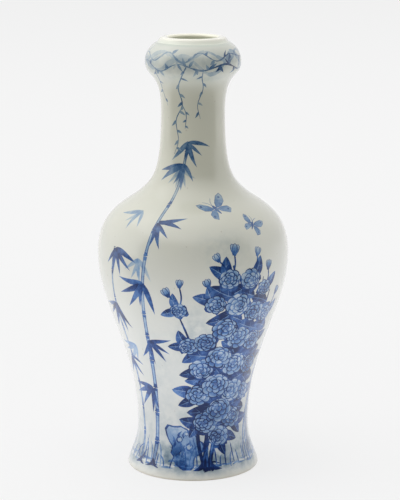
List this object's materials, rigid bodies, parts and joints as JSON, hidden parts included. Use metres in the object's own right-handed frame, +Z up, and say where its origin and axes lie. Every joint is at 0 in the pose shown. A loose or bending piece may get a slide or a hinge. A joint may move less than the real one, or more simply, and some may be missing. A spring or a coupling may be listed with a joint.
{
  "type": "vase",
  "caption": "Porcelain bottle vase with a flared foot, high belly, slim neck and hollow garlic-head mouth, painted in cobalt blue under the glaze.",
  "frame": {"origin": "middle of the flat ring that the vase stands on, at the surface under it", "axes": "+Z up along the axis that the vase was turned on; the side that the picture shows looks along -Y"},
  "size_m": [0.0988, 0.0988, 0.225],
  "materials": {
    "painted_glaze": "clear gloss glaze over bluish-white porcelain with cobalt blue brush painting",
    "rim_glaze": "unpainted cream gloss glaze, thinner over the lip",
    "foot_glaze": "unpainted cream gloss glaze, with a bare matt ring to stand on"
  },
  "bodies": {
    "root": {"foot_ring": "foot_glaze", "lower_body": "painted_glaze", "upper_body": "painted_glaze", "neck": "painted_glaze", "garlic_bulb": "painted_glaze", "mouth_rim": "rim_glaze"}
  },
  "joints": []
}
